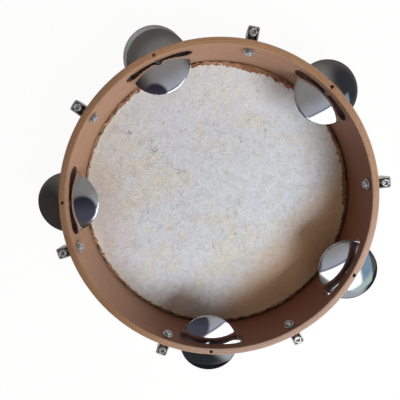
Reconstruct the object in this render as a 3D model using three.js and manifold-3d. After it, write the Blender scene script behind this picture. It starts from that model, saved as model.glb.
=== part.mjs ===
// Pandeiro: a hand-held frame drum with a goatskin head, five sets of jingles and six tuning lugs.
// Millimetres, +Z up. The drum lies on its head: the playing face is at z = 0, centred on the origin,
// and the open back edge of the wooden hoop is at the top.

import * as THREE from 'three';
import { mergeVertices } from 'three/addons/utils/BufferGeometryUtils.js';
import Module from 'manifold-3d';

// Gaps
const CLEARANCE = 0.3; // between neighbouring pieces
const FLOOR_CLEARANCE = 0.5; // under the hooks when the head is fully slack
const CUT_MARGIN = 2; // how far a cutting shape runs past what it cuts

// Wooden hoop
const HOOP_RADIUS = 127;
const HOOP_WALL = 5.4;
const HOOP_HEIGHT = 49;
const HOOP_EDGE_CHAMFER = 0.8;

// Head skin and the hoops that stretch it
const SKIN_THICKNESS = 0.7;
const SKIN_CORNER_RADIUS = 2;
const FLESH_HOOP_WIDTH = 2;
const FLESH_HOOP_HEIGHT = 2.5;
const TENSION_HOOP_WIDTH = 3.1;
const TENSION_HOOP_HEIGHT = 5;
const TENSION_HOOP_CHAMFER = 0.8;
const TENSION_TRAVEL = 2; // how far the tension hoop drops when the nuts are slackened

// Tuning lugs: angles in degrees round the drum, counted from +X
const LUG_ANGLES = [145.3, 79.2, 7.7, -59.6, -110.7, 197.4];
const ROD_RADIUS = 1.5;
const ROD_STANDOFF = 0.7; // from the tension hoop's outer face to the rod
const ROD_BEND_RADIUS = 3.3; // of the rod's centre line
const ROD_RECESS = 1.5; // from the nut's top down to the rod's end
const NUT_SIDES = 6;
const NUT_ACROSS_FLATS = 5.5;
const NUT_HEIGHT = 12;
const NUT_CHAMFER = 0.6;
const NUT_CHAMFER_ANGLE = 30; // degrees, from the nut's end face
const BRACKET_DROP = 4.2; // from the back edge down to the bracket's top
const NUT_PROUD = 1.4; // how far the nut's top stands above the bracket's
const BRACKET_SHEET = 1.1;
const BRACKET_CORNER_RADIUS = 1.5;
const SCREW_INSET = 4; // from the bracket's top down to the screw
const SCREW_RADIUS = 1.75;
const SCREW_PROUD = 1; // how far the screw's tip stands out of the bracket's base plate
const SCREW_HEAD_RADIUS = 3.3;
const SCREW_HEAD_HEIGHT = 2.1;
const SCREW_RECESS_WIDTH = 0.9;
const SCREW_RECESS_LENGTH = 3.6;
const SCREW_RECESS_DEPTH = 1.1;
const WASHER_RADIUS = 4.6;
const WASHER_THICKNESS = 0.8;

// Jingles: angles in degrees round the drum; the wide space left between the last two is the grip
const JINGLE_ANGLES = [113.6, 47.1, -27.6, -92.7, 179];
// Each set's loose cups have slid apart in these directions, in degrees
const BACK_CUP_SLIP = [320, 310, 324, 215, 250];
const HEAD_CUP_SLIP = [125, 300, 0, 215, 240];
const CUP_RADIUS = 25.5;
const CUP_HEIGHT = 4.5;
const CUP_SHEET = 0.6;
const CUP_SLIP_LENGTH = 2;
const DAMPER_RADIUS = 22;
const DAMPER_THICKNESS = 0.8;
const RATTLE = 3; // how far a set can travel along its pin
const SLOT_DROP = 7.5; // from the back edge down to the slot
const PIN_RADIUS = 1.2;
const PIN_RECESS = 2; // from the back edge down to the pin's end
const PIN_DEPTH = 10; // of the pin below the slot

// Facets
const RING_SEGMENTS = 60;
const CUP_SEGMENTS = 24;
const CUP_RINGS = 3;
const SMALL_SEGMENTS = 12;
const ROD_SEGMENTS = 8;
const BEND_STEPS = 4;
const CORNER_STEPS = 2;

// Heights worked out from the sizes above
const hoopBottom = SKIN_THICKNESS + CLEARANCE;
const backEdge = hoopBottom + HOOP_HEIGHT;
const toeHeight = TENSION_TRAVEL + FLOOR_CLEARANCE + ROD_RADIUS;
const tensionHoopBottom = toeHeight + ROD_RADIUS + CLEARANCE;
const tensionHoopTop = tensionHoopBottom + TENSION_HOOP_HEIGHT;
const fleshHoopBottom = tensionHoopTop + CLEARANCE;
const fleshHoopTop = fleshHoopBottom + FLESH_HOOP_HEIGHT;
const lapTop = fleshHoopTop + CLEARANCE + SKIN_THICKNESS;
const bracketTop = backEdge - BRACKET_DROP;
const nutTop = bracketTop + NUT_PROUD;
const nutBottom = nutTop - NUT_HEIGHT;
const bracketBottom = nutBottom - CLEARANCE - BRACKET_SHEET;
const rodTop = nutTop - ROD_RECESS;
const screwHeight = bracketTop - SCREW_INSET;

// The jingle set lies on the lower side of its slot
const slotHeight = 2 * CUP_HEIGHT + DAMPER_THICKNESS + 4 * CLEARANCE + RATTLE;
const slotTop = backEdge - SLOT_DROP;
const slotBottom = slotTop - slotHeight;
const slotLength = 2 * (CUP_RADIUS + CUP_SLIP_LENGTH + 3 * CLEARANCE);
const headCupRim = slotBottom + CLEARANCE + CUP_HEIGHT;
const damperBottom = headCupRim + CLEARANCE;
const backCupRim = damperBottom + DAMPER_THICKNESS + CLEARANCE;

// Radii worked out from the sizes above
const hoopInnerRadius = HOOP_RADIUS - HOOP_WALL;
const skinInnerRadius = HOOP_RADIUS + CLEARANCE;
const skinOuterRadius = skinInnerRadius + SKIN_THICKNESS;
const hoopsInnerRadius = skinOuterRadius + CLEARANCE;
const lapInnerRadius = hoopsInnerRadius + FLESH_HOOP_WIDTH + CLEARANCE;
const lapOuterRadius = lapInnerRadius + SKIN_THICKNESS;
const tensionHoopRadius = hoopsInnerRadius + TENSION_HOOP_WIDTH;
const rodDistance = Math.max(tensionHoopRadius, lapOuterRadius) + ROD_STANDOFF + ROD_RADIUS;
const nutRadius = NUT_ACROSS_FLATS / 2 / Math.cos(Math.PI / NUT_SIDES);
const bracketInside = nutRadius + CLEARANCE;
const bracketBack = HOOP_RADIUS + CLEARANCE;
const bracketFront = rodDistance + bracketInside + BRACKET_SHEET;
const screwHoleRadius = SCREW_RADIUS + CLEARANCE;
const rodHoleRadius = ROD_RADIUS + CLEARANCE;
const pinDistance = HOOP_RADIUS - HOOP_WALL / 2;
const pinHoleRadius = PIN_RADIUS + CLEARANCE;
const cupHoleRadius = pinHoleRadius + CUP_SLIP_LENGTH;
// A flat washer on the hollow side of the hoop touches it along its two edges
const hoopInnerFlat = hoopInnerRadius * Math.cos(Math.PI / RING_SEGMENTS);
const washerSeat = Math.sqrt(hoopInnerFlat ** 2 - WASHER_RADIUS ** 2) - CLEARANCE;
const screwSeat = washerSeat - WASHER_THICKNESS - CLEARANCE;

const wasm = await Module();
wasm.setup();

// A closed three.js geometry as a solid that can be joined and cut
function toSolid(geometry) {
  const bare = geometry.clone();
  bare.deleteAttribute('normal');
  bare.deleteAttribute('uv');
  const welded = mergeVertices(bare);
  const mesh = new wasm.Mesh({
    numProp: 3,
    vertProperties: new Float32Array(welded.attributes.position.array),
    triVerts: new Uint32Array(welded.index.array),
  });
  return new wasm.Manifold(mesh);
}

function toGeometry(solid) {
  const mesh = solid.getMesh();
  const geometry = new THREE.BufferGeometry();
  geometry.setAttribute('position', new THREE.BufferAttribute(mesh.vertProperties, 3));
  geometry.setIndex(new THREE.BufferAttribute(mesh.triVerts, 1));
  geometry.computeVertexNormals();
  return geometry;
}

// Turn a profile of [radius, height] points, listed anticlockwise, about the Z axis
function turned(profile, segments) {
  const points = profile.map(([radius, height]) => new THREE.Vector2(radius, height));
  return new THREE.LatheGeometry(points, segments).rotateX(Math.PI / 2);
}

// The same for a ring, whose profile closes on itself
function turnedRing(profile, segments) {
  return turned([...profile, profile[0]], segments);
}

function cylinder(radius, bottom, top, segments) {
  const geometry = new THREE.CylinderGeometry(radius, radius, top - bottom, segments);
  return geometry.rotateX(Math.PI / 2).translate(0, 0, (bottom + top) / 2);
}

// Move a shape made along +Z so that its Z runs out along +X and its Y runs up
function faceOutward(geometry) {
  const across = new THREE.Vector3(0, 1, 0);
  const up = new THREE.Vector3(0, 0, 1);
  const outward = new THREE.Vector3(1, 0, 0);
  return geometry.applyMatrix4(new THREE.Matrix4().makeBasis(across, up, outward));
}

function roundedRectangle(left, right, halfWidth, corner) {
  const shape = new THREE.Shape();
  shape.absarc(right - corner, halfWidth - corner, corner, 0, Math.PI / 2);
  shape.absarc(left + corner, halfWidth - corner, corner, Math.PI / 2, Math.PI);
  shape.absarc(left + corner, corner - halfWidth, corner, Math.PI, 1.5 * Math.PI);
  shape.absarc(right - corner, corner - halfWidth, corner, 1.5 * Math.PI, 2 * Math.PI);
  return shape;
}

// Each arc of the shape gets the given number of edges
function extruded(shape, bottom, top, arcEdges) {
  const settings = { depth: top - bottom, bevelEnabled: false, curveSegments: arcEdges / 2 };
  return new THREE.ExtrudeGeometry(shape, settings).translate(0, 0, bottom);
}

// A quarter circle of [radius, height] points about a centre, from one angle to the next
function arcPoints(centreRadius, centreHeight, radius, startAngle, steps) {
  return Array.from({ length: steps + 1 }, (_, step) => {
    const angle = startAngle + (step / steps) * (Math.PI / 2);
    return [centreRadius + radius * Math.cos(angle), centreHeight + radius * Math.sin(angle)];
  });
}

// Wooden hoop with a slot and a pin hole for each jingle set and a screw hole for each lug
function slotShape() {
  const end = slotHeight / 2;
  const straight = slotLength / 2 - end;
  const shape = new THREE.Shape();
  shape.absarc(straight, slotBottom + end, end, -Math.PI / 2, Math.PI / 2);
  shape.absarc(-straight, slotBottom + end, end, Math.PI / 2, 1.5 * Math.PI);
  return shape;
}

function hoopGeometry() {
  const cut = HOOP_EDGE_CHAMFER;
  const ring = turnedRing(
    [
      [hoopInnerRadius + cut, hoopBottom],
      [HOOP_RADIUS - cut, hoopBottom],
      [HOOP_RADIUS, hoopBottom + cut],
      [HOOP_RADIUS, backEdge - cut],
      [HOOP_RADIUS - cut, backEdge],
      [hoopInnerRadius + cut, backEdge],
      [hoopInnerRadius, backEdge - cut],
      [hoopInnerRadius, hoopBottom + cut],
    ],
    RING_SEGMENTS,
  );
  // At a slot's ends the curved wall lies further in than at its middle
  const cutStart = Math.sqrt(hoopInnerFlat ** 2 - (slotLength / 2) ** 2) - CUT_MARGIN;
  const cutEnd = HOOP_RADIUS + CUT_MARGIN;
  const pinHoleBottom = slotBottom - PIN_DEPTH - CLEARANCE;
  let hoop = toSolid(ring);
  for (const angle of JINGLE_ANGLES) {
    const slot = faceOutward(extruded(slotShape(), cutStart, cutEnd, SMALL_SEGMENTS));
    const pinHole = cylinder(pinHoleRadius, pinHoleBottom, backEdge + CUT_MARGIN, SMALL_SEGMENTS);
    pinHole.translate(pinDistance, 0, 0);
    for (const cutter of [slot, pinHole]) {
      hoop = hoop.subtract(toSolid(cutter.rotateZ(THREE.MathUtils.degToRad(angle))));
    }
  }
  for (const angle of LUG_ANGLES) {
    const hole = faceOutward(cylinder(screwHoleRadius, cutStart, cutEnd, SMALL_SEGMENTS));
    hole.translate(0, 0, screwHeight);
    hoop = hoop.subtract(toSolid(hole.rotateZ(THREE.MathUtils.degToRad(angle))));
  }
  return toGeometry(hoop);
}

// Skin: a flat membrane, a collar up the outside of the hoop and a lap over the flesh hoop
function skinGeometry() {
  const corner = SKIN_CORNER_RADIUS;
  const fold = SKIN_THICKNESS;
  const profile = [
    [0, 0],
    ...arcPoints(skinOuterRadius - corner, corner, corner, -Math.PI / 2, CORNER_STEPS),
    [skinOuterRadius, lapTop - SKIN_THICKNESS],
    [lapInnerRadius, lapTop - SKIN_THICKNESS],
    [lapInnerRadius, fleshHoopBottom],
    [lapOuterRadius, fleshHoopBottom],
    ...arcPoints(lapOuterRadius - fold, lapTop - fold, fold, 0, CORNER_STEPS),
    [skinInnerRadius, lapTop],
    [skinInnerRadius, SKIN_THICKNESS],
    [0, SKIN_THICKNESS],
  ];
  return turned(profile, RING_SEGMENTS);
}

function fleshHoopGeometry() {
  const outer = hoopsInnerRadius + FLESH_HOOP_WIDTH;
  const profile = [
    [hoopsInnerRadius, fleshHoopBottom],
    [outer, fleshHoopBottom],
    [outer, fleshHoopTop],
    [hoopsInnerRadius, fleshHoopTop],
  ];
  return turnedRing(profile, RING_SEGMENTS);
}

function tensionHoopGeometry() {
  const cut = TENSION_HOOP_CHAMFER;
  const profile = [
    [hoopsInnerRadius, tensionHoopBottom],
    [tensionHoopRadius - cut, tensionHoopBottom],
    [tensionHoopRadius, tensionHoopBottom + cut],
    [tensionHoopRadius, tensionHoopTop - cut],
    [tensionHoopRadius - cut, tensionHoopTop],
    [hoopsInnerRadius, tensionHoopTop],
  ];
  return turnedRing(profile, RING_SEGMENTS);
}

// Centre line of a hook: straight down from the nut, round the bend and in under the tension hoop
class HookPath extends THREE.Curve {
  getPointAt(share) {
    return this.station(share).point;
  }

  getTangentAt(share) {
    return this.station(share).tangent;
  }

  // Stations are the rod's top, the steps of the bend and the toe's end
  station(share) {
    const index = Math.round(share * (BEND_STEPS + 2));
    const step = THREE.MathUtils.clamp(index - 1, 0, BEND_STEPS);
    const angle = (step / BEND_STEPS) * (Math.PI / 2);
    const bendCentre = rodDistance - ROD_BEND_RADIUS;
    const x = bendCentre + ROD_BEND_RADIUS * Math.cos(angle);
    const z = toeHeight + ROD_BEND_RADIUS * (1 - Math.sin(angle));
    const tangent = new THREE.Vector3(-Math.sin(angle), 0, -Math.cos(angle));
    if (index === 0) return { point: new THREE.Vector3(rodDistance, 0, rodTop), tangent };
    if (index === BEND_STEPS + 2) {
      return { point: new THREE.Vector3(hoopsInnerRadius, 0, toeHeight), tangent };
    }
    return { point: new THREE.Vector3(x, 0, z), tangent };
  }
}

function hookGeometry() {
  const section = new THREE.Shape();
  section.absarc(0, 0, ROD_RADIUS, 0, 2 * Math.PI);
  const settings = { steps: BEND_STEPS + 2, extrudePath: new HookPath(), curveSegments: ROD_SEGMENTS / 2 };
  return new THREE.ExtrudeGeometry(section, settings);
}

// Lug bracket: an open-topped box with a base plate against the hoop and a floor that holds the nut
function bracketGeometry() {
  const corner = BRACKET_CORNER_RADIUS;
  const sheet = BRACKET_SHEET;
  const halfWidth = bracketInside + sheet;
  const outside = roundedRectangle(bracketBack, bracketFront, halfWidth, corner);
  const insideCorner = Math.max(corner - sheet, sheet / 2);
  const inside = roundedRectangle(bracketBack + sheet, bracketFront - sheet, bracketInside, insideCorner);
  const box = toSolid(extruded(outside, bracketBottom, bracketTop, CORNER_STEPS));
  const hollow = toSolid(extruded(inside, bracketBottom + sheet, bracketTop + CUT_MARGIN, CORNER_STEPS));
  const rodHole = cylinder(rodHoleRadius, bracketBottom - CUT_MARGIN, nutBottom, SMALL_SEGMENTS);
  rodHole.translate(rodDistance, 0, 0);
  const screwHole = cylinder(screwHoleRadius, bracketBack - CUT_MARGIN, bracketBack + 2 * sheet, SMALL_SEGMENTS);
  faceOutward(screwHole).translate(0, 0, screwHeight);
  return toGeometry(box.subtract(hollow).subtract(toSolid(rodHole)).subtract(toSolid(screwHole)));
}

// Long hexagon nut, chamfered at both ends and bored through for the rod
function nutGeometry() {
  const hexagon = cylinder(nutRadius, nutBottom, nutTop, NUT_SIDES);
  const waist = nutRadius + CLEARANCE;
  const end = nutRadius - NUT_CHAMFER;
  const rise = (waist - end) * Math.tan(THREE.MathUtils.degToRad(NUT_CHAMFER_ANGLE));
  const envelope = turned(
    [
      [0, nutBottom],
      [end, nutBottom],
      [waist, nutBottom + rise],
      [waist, nutTop - rise],
      [end, nutTop],
      [0, nutTop],
    ],
    SMALL_SEGMENTS,
  );
  const bore = cylinder(rodHoleRadius, nutBottom - CUT_MARGIN, nutTop + CUT_MARGIN, SMALL_SEGMENTS);
  return toGeometry(toSolid(hexagon).intersect(toSolid(envelope)).subtract(toSolid(bore)));
}

// Pan-head screw with a cross recess, made along +Z with its head's seat at z = 0
function screwGeometry() {
  const length = bracketBack + BRACKET_SHEET + SCREW_PROUD - screwSeat;
  const crown = SCREW_HEAD_HEIGHT / 2;
  const body = turned(
    [
      [0, -length],
      [SCREW_RADIUS, -length],
      [SCREW_RADIUS, 0],
      [SCREW_HEAD_RADIUS, 0],
      ...arcPoints(SCREW_HEAD_RADIUS - crown, SCREW_HEAD_HEIGHT - crown, crown, 0, CORNER_STEPS),
      [0, SCREW_HEAD_HEIGHT],
    ],
    SMALL_SEGMENTS,
  );
  const recessTop = SCREW_HEAD_HEIGHT + CUT_MARGIN;
  const recessBottom = SCREW_HEAD_HEIGHT - SCREW_RECESS_DEPTH;
  let screw = toSolid(body);
  for (const [x, y] of [
    [SCREW_RECESS_LENGTH, SCREW_RECESS_WIDTH],
    [SCREW_RECESS_WIDTH, SCREW_RECESS_LENGTH],
  ]) {
    const groove = new THREE.BoxGeometry(x, y, recessTop - recessBottom);
    screw = screw.subtract(toSolid(groove.translate(0, 0, (recessTop + recessBottom) / 2)));
  }
  return toGeometry(screw);
}

function washerGeometry() {
  const profile = [
    [screwHoleRadius, 0],
    [WASHER_RADIUS, 0],
    [WASHER_RADIUS, WASHER_THICKNESS],
    [screwHoleRadius, WASHER_THICKNESS],
  ];
  return turnedRing(profile, SMALL_SEGMENTS);
}

// Dished cup of even sheet, made with its rim at z = 0 and its dome up
function cupGeometry() {
  const domeRadius = (CUP_RADIUS ** 2 + CUP_HEIGHT ** 2) / (2 * CUP_HEIGHT);
  const innerRadius = domeRadius - CUP_SHEET;
  const centre = CUP_HEIGHT - domeRadius;
  const rim = Math.sqrt(innerRadius ** 2 - centre ** 2);
  const dome = (radius, edge) =>
    Array.from({ length: CUP_RINGS + 1 }, (_, ring) => {
      const reach = edge + (ring / CUP_RINGS) * (cupHoleRadius - edge);
      return [reach, Math.max(centre + Math.sqrt(radius ** 2 - reach ** 2), 0)];
    });
  return turnedRing([...dome(domeRadius, CUP_RADIUS), ...dome(innerRadius, rim).reverse()], CUP_SEGMENTS);
}

function damperGeometry() {
  const profile = [
    [pinHoleRadius, 0],
    [DAMPER_RADIUS, 0],
    [DAMPER_RADIUS, DAMPER_THICKNESS],
    [pinHoleRadius, DAMPER_THICKNESS],
  ];
  return turnedRing(profile, CUP_SEGMENTS);
}

function finish(color, roughness, metalness) {
  return new THREE.MeshStandardMaterial({ color, roughness, metalness });
}

const wood = finish(0xae8264, 0.6, 0);
const skin = finish(0xcfc8bc, 0.8, 0);
const cane = finish(0xb79a72, 0.7, 0);
const chrome = finish(0xc9ccd0, 0.12, 1);
const platedSteel = finish(0xa9a9a6, 0.35, 1);

function addMesh(parent, name, geometry, material) {
  const mesh = new THREE.Mesh(geometry, material.clone());
  mesh.name = name;
  parent.add(mesh);
  return mesh;
}

// A group turned to an angle round the drum, so that its own +X runs outward
function station(angle) {
  const group = new THREE.Group();
  group.rotation.z = THREE.MathUtils.degToRad(angle);
  pandeiro.add(group);
  return group;
}

function addLug(angle, number) {
  const lug = station(angle);
  addMesh(lug, `tension_hook_${number}`, hookGeometry(), platedSteel);
  addMesh(lug, `lug_bracket_${number}`, bracketGeometry(), chrome);
  const nut = addMesh(lug, `tuning_nut_${number}`, nutGeometry(), chrome);
  nut.position.x = rodDistance;
  const washer = addMesh(lug, `lug_washer_${number}`, washerGeometry(), platedSteel);
  washer.position.set(washerSeat, 0, screwHeight);
  washer.rotation.y = -Math.PI / 2;
  const screw = addMesh(lug, `lug_screw_${number}`, screwGeometry(), platedSteel);
  screw.position.set(screwSeat, 0, screwHeight);
  screw.rotation.y = -Math.PI / 2;
}

// A cup lies off its pin's axis by the slack of its hole
function slip(mesh, setAngle, slipAngle) {
  const angle = THREE.MathUtils.degToRad(slipAngle - setAngle);
  mesh.position.x += CUP_SLIP_LENGTH * Math.cos(angle);
  mesh.position.y += CUP_SLIP_LENGTH * Math.sin(angle);
}

function addJingle(angle, index) {
  const jingle = station(angle);
  const number = index + 1;
  const pinBottom = slotBottom - PIN_DEPTH;
  const pin = cylinder(PIN_RADIUS, pinBottom, backEdge - PIN_RECESS, SMALL_SEGMENTS);
  addMesh(jingle, `jingle_pin_${number}`, pin, platedSteel).position.x = pinDistance;
  const backCup = addMesh(jingle, `jingle_cup_back_${number}`, cupGeometry(), chrome);
  backCup.position.set(pinDistance, 0, backCupRim);
  slip(backCup, angle, BACK_CUP_SLIP[index]);
  const damper = addMesh(jingle, `jingle_damper_${number}`, damperGeometry(), platedSteel);
  damper.position.set(pinDistance, 0, damperBottom);
  const headCup = addMesh(jingle, `jingle_cup_head_${number}`, cupGeometry(), chrome);
  headCup.position.set(pinDistance, 0, headCupRim);
  headCup.rotation.x = Math.PI;
  slip(headCup, angle, HEAD_CUP_SLIP[index]);
}

const pandeiro = new THREE.Group();
pandeiro.name = 'pandeiro';
addMesh(pandeiro, 'hoop_frame', hoopGeometry(), wood);
addMesh(pandeiro, 'head_skin', skinGeometry(), skin);
addMesh(pandeiro, 'flesh_hoop', fleshHoopGeometry(), cane);
addMesh(pandeiro, 'tension_hoop', tensionHoopGeometry(), chrome);
LUG_ANGLES.forEach((angle, index) => addLug(angle, index + 1));
JINGLE_ANGLES.forEach(addJingle);

export default pandeiro;
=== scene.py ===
"""Pandeiro: the looks of a hand-held frame drum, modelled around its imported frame."""

import math
import random

import bmesh
import bpy
from mathutils import Matrix, Vector


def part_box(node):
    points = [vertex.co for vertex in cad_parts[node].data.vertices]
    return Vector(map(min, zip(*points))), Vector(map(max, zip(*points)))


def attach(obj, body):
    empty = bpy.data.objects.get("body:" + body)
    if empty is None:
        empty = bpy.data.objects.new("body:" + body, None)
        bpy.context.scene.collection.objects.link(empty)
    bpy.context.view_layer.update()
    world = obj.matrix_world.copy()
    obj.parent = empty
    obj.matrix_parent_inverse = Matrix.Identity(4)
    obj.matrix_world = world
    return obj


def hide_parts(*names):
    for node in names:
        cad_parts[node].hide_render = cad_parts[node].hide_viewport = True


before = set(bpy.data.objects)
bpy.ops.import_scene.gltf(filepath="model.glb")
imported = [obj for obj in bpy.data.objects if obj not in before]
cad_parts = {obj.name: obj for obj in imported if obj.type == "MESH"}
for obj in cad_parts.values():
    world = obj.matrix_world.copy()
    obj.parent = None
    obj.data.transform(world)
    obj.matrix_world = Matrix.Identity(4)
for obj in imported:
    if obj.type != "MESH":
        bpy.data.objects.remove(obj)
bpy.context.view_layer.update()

bl_info = {
    "name": "Pandeiro",
    "version": (1, 0, 0),
    "blender": (4, 5, 0),
    "location": "3D View > Sidebar > Pandeiro",
    "description": "Models a hand-held frame drum with jingles around its frame",
    "category": "Object",
}

# Lengths in metres
MARGIN = 0.002  # how far a cutting shape runs past what it cuts
WELD = 1e-6  # points nearer than this are one
SKIN_SHEET = 0.0007  # thickness of the stretched skin
ROD_HOLE = 0.0018  # radius of the holes round the threaded rods
SCREW_HOLE = 0.00205  # radius of the holes round the screws in metal

HOOP_SIDES = 240  # flat sides that make the hoop and the skin round
SHADED_SIDE = (0.77, -0.64)  # the way from the drum's axis to its side next to the window, whose inner wall and skin stand in shade; shade is painted there


# Measures taken from the frame

def points_of(node):
    return [vertex.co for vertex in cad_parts[node].data.vertices]


def middle(node):
    low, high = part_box(node)
    return (low + high) / 2


def turn_to(angle):
    """A turn round the drum's axis."""
    return Matrix.Rotation(angle, 4, "Z")


def station(node):
    """The angle round the drum at which a node stands."""
    centre = middle(node)
    return math.atan2(centre.y, centre.x)


def facing_box(node):
    """A node's lowest and highest corner once it is turned back to stand on +X."""
    turn = turn_to(-station(node))
    points = [turn @ point for point in points_of(node)]
    return Vector(map(min, zip(*points))), Vector(map(max, zip(*points)))


def upright(node):
    """How far from the drum's axis an upright round node stands, and its radius."""
    low, high = facing_box(node)
    return (low.x + high.x) / 2, (high.y - low.y) / 2


def radii(node):
    """The least and the greatest distance of a node's points from the drum's axis."""
    distances = [math.hypot(point.x, point.y) for point in points_of(node)]
    return min(distances), max(distances)


def slot_limits():
    """The bottom, the top and the half length of the slots in the hoop."""
    low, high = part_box("hoop_frame")
    cup_low, cup_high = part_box("jingle_cup_back_1")
    reach = (cup_high.x - cup_low.x) * 0.6  # a little past the ends of a slot
    turn = turn_to(-station("jingle_pin_1"))
    edge = [
        point for point in (turn @ corner for corner in points_of("hoop_frame"))
        if point.x > 0 and MARGIN < abs(point.y) < reach and low.z + MARGIN < point.z < high.z - MARGIN
    ]
    return min(p.z for p in edge), max(p.z for p in edge), max(abs(p.y) for p in edge)


def turns_to(kind):
    """The turn from +X to each node of one kind, by the number that ends its name."""
    numbers = sorted(int(name[len(kind):]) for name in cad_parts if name.startswith(kind))
    return {number: turn_to(station(f"{kind}{number}")) for number in numbers}


LUGS = turns_to("tuning_nut_")
SETS = turns_to("jingle_pin_")


# Modelling

def let_go():
    """Leaves edit mode and deselects everything."""
    if bpy.context.object and bpy.context.object.mode != "OBJECT":
        bpy.ops.object.mode_set(mode="OBJECT")
    bpy.ops.object.select_all(action="DESELECT")


def hold(piece):
    """Makes one piece the only selected and the active object."""
    let_go()
    piece.select_set(True)
    bpy.context.view_layer.objects.active = piece


def begin(name, add, **settings):
    """Adds a primitive with nothing else selected, and sets its place into its mesh."""
    let_go()
    add(**settings)
    piece = bpy.context.object
    piece.name = piece.data.name = name
    bpy.ops.object.transform_apply(location=True, rotation=True, scale=True)
    return piece


def edit(piece):
    """Opens a piece for editing, with all of it selected."""
    hold(piece)
    bpy.ops.object.mode_set(mode="EDIT")
    bpy.ops.mesh.select_all(action="SELECT")


def pick(piece, kind, test):
    """In edit mode, selects only the points, edges or faces that pass a test of their middle."""
    bpy.ops.mesh.select_mode(type=kind)
    bpy.ops.mesh.select_all(action="DESELECT")
    mesh = bmesh.from_edit_mesh(piece.data)
    for item in {"VERT": mesh.verts, "EDGE": mesh.edges, "FACE": mesh.faces}[kind]:
        corners = [item.co] if kind == "VERT" else [corner.co for corner in item.verts]
        if test(sum(corners, Vector()) / len(corners), item):
            item.select_set(True)
    bmesh.update_edit_mesh(piece.data)


def everything(place, item):
    """A test that all points, edges and faces pass."""
    return True


def extrude(*offset):
    """Pulls the selected faces out by an offset."""
    bpy.ops.mesh.extrude_region_move(TRANSFORM_OT_translate={"value": offset})


def modify(piece, kind, **settings):
    """Adds one modifier to a piece, sets it and applies it."""
    modifier = piece.modifiers.new(kind.lower(), kind)
    for key, value in settings.items():
        setattr(modifier, key, value)
    hold(piece)
    bpy.ops.object.modifier_apply(modifier=modifier.name)


def discard(piece):
    bpy.data.objects.remove(piece)


def cut(piece, *tools, operation="DIFFERENCE"):
    for tool in tools:
        modify(piece, "BOOLEAN", object=tool, operation=operation, solver="EXACT")
        discard(tool)


def shade(piece, angle=35):
    hold(piece)
    bpy.ops.object.shade_smooth_by_angle(angle=math.radians(angle))


def ease(piece, width, segments=2, angle=40):
    """Rounds every sharp edge of a piece and shades it smooth between its edges."""
    modify(
        piece, "BEVEL", width=width, segments=segments, limit_method="ANGLE",
        angle_limit=math.radians(angle), use_clamp_overlap=False, miter_outer="MITER_ARC",
    )
    shade(piece)


def close(piece):
    """Welds a piece's doubled points and turns its faces outwards."""
    edit(piece)
    bpy.ops.mesh.remove_doubles(threshold=WELD)
    bpy.ops.mesh.normals_make_consistent(inside=False)
    let_go()


def turned(name, profile, sides, ring=False, disc=False):
    """Draws a profile of (radius, height) points round the Z axis, one loop of edges after another."""
    radius, height = profile[0]
    piece = begin(
        name, bpy.ops.mesh.primitive_circle_add,
        vertices=sides, radius=radius, location=(0, 0, height), fill_type="NGON" if disc else "NOTHING",
    )
    edit(piece)
    pick(piece, "EDGE", everything)
    steps = [*profile, profile[0]] if ring else profile
    for (radius, height), (next_radius, next_height) in zip(steps, steps[1:]):
        ratio = next_radius / radius
        bpy.ops.mesh.extrude_edges_move(TRANSFORM_OT_translate={"value": (0, 0, next_height - height)})
        bpy.ops.transform.resize(value=(ratio, ratio, 1), center_override=(0, 0, next_height))
    close(piece)
    return piece


def plain_ring(name, inner, outer, low, high, sides):
    """A ring round the Z axis with an oblong section."""
    return turned(name, [(inner, low), (outer, low), (outer, high), (inner, high)], sides, ring=True)


def rod(name, radius, start, end, sides=24):
    """A round bar from one point to another, used whole or as a cutting tool."""
    start, end = Vector(start), Vector(end)
    return begin(
        name, bpy.ops.mesh.primitive_cylinder_add, vertices=sides, radius=radius,
        depth=(end - start).length, location=(start + end) / 2,
        rotation=(end - start).to_track_quat("Z", "Y").to_euler(),
    )


def block(name, low, high):
    low, high = Vector(low), Vector(high)
    return begin(name, bpy.ops.mesh.primitive_cube_add, size=1, location=(low + high) / 2, scale=high - low)


def arc(centre, radius, start, end, steps):
    """Points of a circle in the (radius, height) plane, between two angles in degrees."""
    angles = [math.radians(start + (end - start) * step / steps) for step in range(steps + 1)]
    return [(centre[0] + radius * math.cos(a), centre[1] + radius * math.sin(a)) for a in angles]


def join(piece, *others):
    """Makes several pieces one, under the name of the first."""
    hold(piece)
    for other in others:
        other.select_set(True)
    bpy.ops.object.join()


def copied(piece, name, place):
    """A copy of a piece with its own mesh, moved by a matrix that is set into the mesh."""
    hold(piece)
    bpy.ops.object.duplicate(linked=False)
    twin = bpy.context.object
    twin.name = twin.data.name = name
    twin.matrix_world = place
    bpy.ops.object.transform_apply(location=True, rotation=True, scale=True)
    return twin


def hand_over(piece, body, slot, finish, *nodes):
    """Gives a finished piece its material, its body and the nodes that it stands for."""
    piece.data.materials.clear()
    piece.data.materials.append(finish)
    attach(piece, body)
    if nodes:
        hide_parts(*nodes)


def spread(pattern, name, turns, body, slot, finish, node):
    """Hands over a copy of a pattern for each of its places round the drum, and discards the pattern."""
    for number, turn in turns.items():
        twin = copied(pattern, f"{name}_{number}", turn)
        hand_over(twin, body, slot, finish, f"{node}_{number}")
    discard(pattern)


# Materials

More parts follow.
